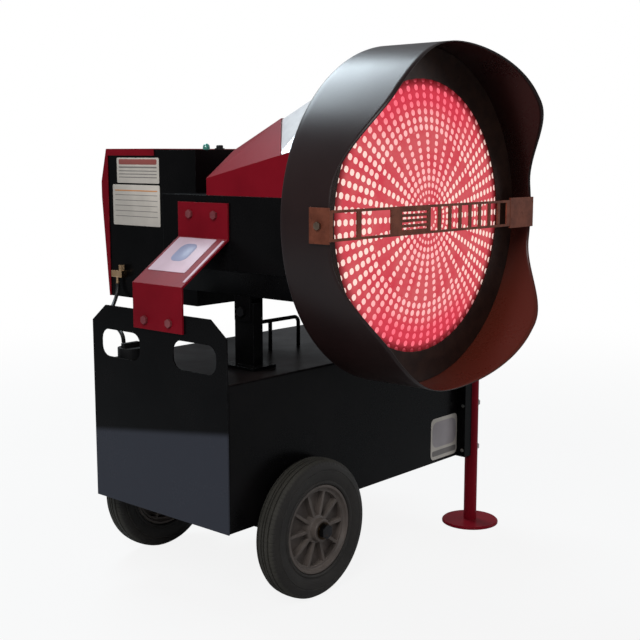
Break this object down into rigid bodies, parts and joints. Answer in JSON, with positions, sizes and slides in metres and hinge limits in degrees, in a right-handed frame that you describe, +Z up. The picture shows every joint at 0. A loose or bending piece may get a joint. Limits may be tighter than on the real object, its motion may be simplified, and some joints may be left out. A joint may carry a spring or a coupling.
{
  "type": "radiant heater",
  "caption": "Portable oil-fired radiant heater: a tilting head with a perforated emission disc in a wavy steel hood, on a wheeled fuel tank with clamped legs.",
  "frame": {"origin": "bottom centre of the heater's outer box, on the floor", "axes": "+Z up; the emission disc faces -Y; the handle plate and wheels are at -X and the legs at +X"},
  "size_m": [0.7994, 0.839, 1.002],
  "materials": {
    "black_paint": "gloss",
    "gunmetal": "satin",
    "red_paint": "gloss",
    "bright_steel": "polished",
    "zinc": "zinc plated",
    "brass": "satin",
    "copper_strap": "satin",
    "glowing_steel": "heated",
    "tyre_rubber": "matte",
    "rim_plastic": "moulded",
    "black_plastic": "moulded",
    "hose_rubber": "satin",
    "lamp_lens": "clear",
    "heat_steel": "heat tinted",
    "grey_metal": "cast"
  },
  "bodies": {
    "cart": {"fuel_tank": "black_paint", "handle_plate": "black_paint", "axle": "zinc", "axle_beam": "black_paint", "axle_nut_near": "zinc", "axle_nut_far": "zinc", "post_left": "black_paint", "post_right": "black_paint", "pivot_bolt_left": "zinc", "pivot_bolt_right": "zinc", "cord_hook": "black_paint", "transport_bracket": "red_paint", "bracket_bolt_lower_front": "zinc", "bracket_bolt_lower_rear": "zinc", "bracket_bolt_upper_front": "zinc", "bracket_bolt_upper_rear": "zinc", "front_leg_bracket": "red_paint", "front_leg_bolt_lower": "zinc", "front_leg_bolt_upper": "zinc", "rear_leg_bracket": "red_paint", "rear_leg_bolt_lower": "zinc", "rear_leg_bolt_upper": "zinc", "fuel_hose": "hose_rubber"},
    "near_wheel": {"near_tyre": "tyre_rubber", "near_rim": "rim_plastic", "near_bush": "brass"},
    "far_wheel": {"far_tyre": "tyre_rubber", "far_rim": "rim_plastic", "far_bush": "brass"},
    "front_support": {"front_leg": "red_paint"},
    "rear_support": {"rear_leg": "red_paint"},
    "cap": {"fuel_cap": "black_plastic"},
    "head": {"lower_casing": "black_paint", "belly_tray": "black_paint", "flared_cover": "red_paint", "steel_collar": "bright_steel", "hood": "gunmetal", "disc_ring": "heat_steel", "emission_disc": "glowing_steel", "guard_strap": "copper_strap", "strap_screw_left": "zinc", "strap_screw_right": "zinc", "combustion_chamber": "heat_steel", "blast_tube": "heat_steel", "nozzle_assembly": "brass", "fan_housing": "grey_metal", "motor": "grey_metal", "fuel_pump": "grey_metal", "ignition_transformer": "black_plastic", "burner_box": "black_paint", "rear_cover": "red_paint", "control_panel": "black_plastic", "indicator_lamp": "lamp_lens", "top_plug": "black_plastic", "fuel_fitting": "brass", "yoke_left": "black_paint", "yoke_right": "black_paint"},
    "fan": {"fan_wheel": "zinc"},
    "knob": {"thermostat_knob": "black_plastic"},
    "switch": {"power_switch": "black_plastic"}
  },
  "joints": [
    {"name": "near_wheel_spin", "type": "hinge", "parent": "cart", "child": "near_wheel", "pos_m": [-0.2078, -0.1895, 0.13], "axis": [0, 1, 0], "continuous": true},
    {"name": "far_wheel_spin", "type": "hinge", "parent": "cart", "child": "far_wheel", "pos_m": [-0.2078, 0.2345, 0.13], "axis": [0, 1, 0], "continuous": true},
    {"name": "front_leg_height", "type": "slide", "parent": "cart", "child": "front_support", "axis": [0, 0, 1], "range_m": [-0.015, 0.015]},
    {"name": "rear_leg_height", "type": "slide", "parent": "cart", "child": "rear_support", "axis": [0, 0, 1], "range_m": [-0.015, 0.015]},
    {"name": "fuel_cap_turn", "type": "hinge", "parent": "cart", "child": "cap", "pos_m": [-0.3428, 0.1525, 0.42], "axis": [0, 0, 1], "range_deg": [0, 90]},
    {"name": "head_tilt", "type": "hinge", "parent": "cart", "child": "head", "pos_m": [-0.0428, -0.0665, 0.525], "axis": [1, 0, 0], "range_deg": [-10, 10], "deforming": ["fuel_hose"]},
    {"name": "fan_spin", "type": "hinge", "parent": "head", "child": "fan", "pos_m": [-0.0428, 0.2475, 0.665], "axis": [1, 0, 0], "continuous": true},
    {"name": "thermostat_turn", "type": "hinge", "parent": "head", "child": "knob", "pos_m": [0.1105, 0.2825, 0.75], "axis": [1, 0, 0], "range_deg": [-135, 135]},
    {"name": "switch_rock", "type": "hinge", "parent": "head", "child": "switch", "pos_m": [0.1108, 0.2125, 0.75], "axis": [0, 1, 0], "range_deg": [-20, 0]}
  ]
}
